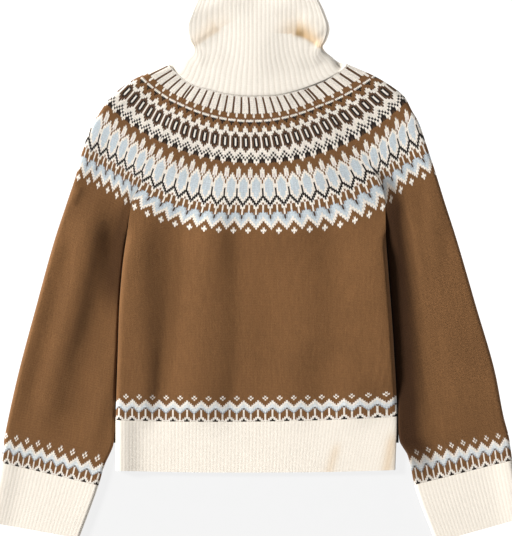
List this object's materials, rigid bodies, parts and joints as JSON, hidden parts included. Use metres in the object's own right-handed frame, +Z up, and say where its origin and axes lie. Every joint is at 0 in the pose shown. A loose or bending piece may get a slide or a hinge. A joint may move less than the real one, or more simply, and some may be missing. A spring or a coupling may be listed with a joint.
{
  "type": "knitted roll-neck pullover with a patterned yoke, laid flat",
  "caption": "Flat-laid knitted pullover with a tall ribbed roll neck, raglan sleeves, a round patterned yoke and ribbed hem and cuffs.",
  "frame": {"origin": "on the surface the garment lies on, below the middle of its box", "axes": "+X towards the wearer's left sleeve, +Y from the hem to the neck, +Z up out of the front of the garment"},
  "size_m": [0.856, 0.9182, 0.026],
  "materials": {
    "brown_knit": "matte stocking-stitch wool in mid brown, with a stranded pattern in cream, light blue, grey-blue and near-black yarn on the yoke and above the ribs",
    "cream_rib": "matte ribbed wool in warm cream"
  },
  "bodies": {
    "root": {"front_panel": "brown_knit", "back_panel": "brown_knit", "left_sleeve": "brown_knit", "right_sleeve": "brown_knit", "front_hem_rib": "cream_rib", "back_hem_rib": "cream_rib", "left_cuff": "cream_rib", "right_cuff": "cream_rib", "roll_neck": "cream_rib"}
  },
  "joints": []
}
